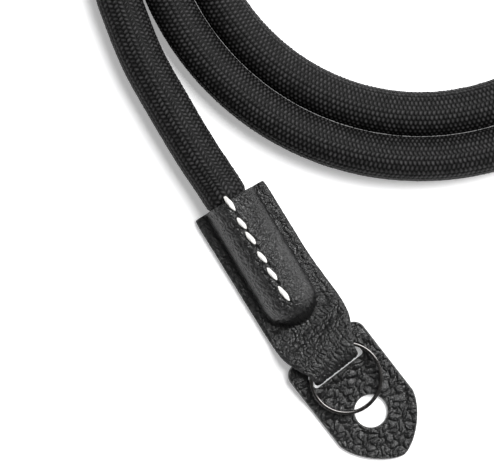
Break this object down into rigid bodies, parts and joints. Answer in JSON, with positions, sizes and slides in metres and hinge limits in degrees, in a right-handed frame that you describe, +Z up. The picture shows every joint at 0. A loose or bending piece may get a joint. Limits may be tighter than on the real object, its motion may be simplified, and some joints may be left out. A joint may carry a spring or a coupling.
{
  "type": "coiled rope camera strap",
  "caption": "Round rope camera strap lying in a flat coil, with a stitched leather end tab, split ring and slotted lug protector at each end.",
  "frame": {"origin": "middle of the strap's bounding box, on the surface it lies on", "axes": "+Z up out of that surface; +Y across the coil, away from the end tab that lies outside it; +X to the right of that"},
  "size_m": [0.1456, 0.2038, 0.0117],
  "materials": {
    "rope_fabric": "matte knitted sleeve",
    "leather_black": "semi-gloss pebbled grain",
    "ring_metal": "polished dark nickel"
  },
  "bodies": {
    "root": {"rope": "rope_fabric", "end_tab_a": "leather_black", "split_ring_a": "ring_metal", "lug_protector_a": "leather_black", "end_tab_b": "leather_black", "split_ring_b": "ring_metal", "lug_protector_b": "leather_black"}
  },
  "joints": []
}
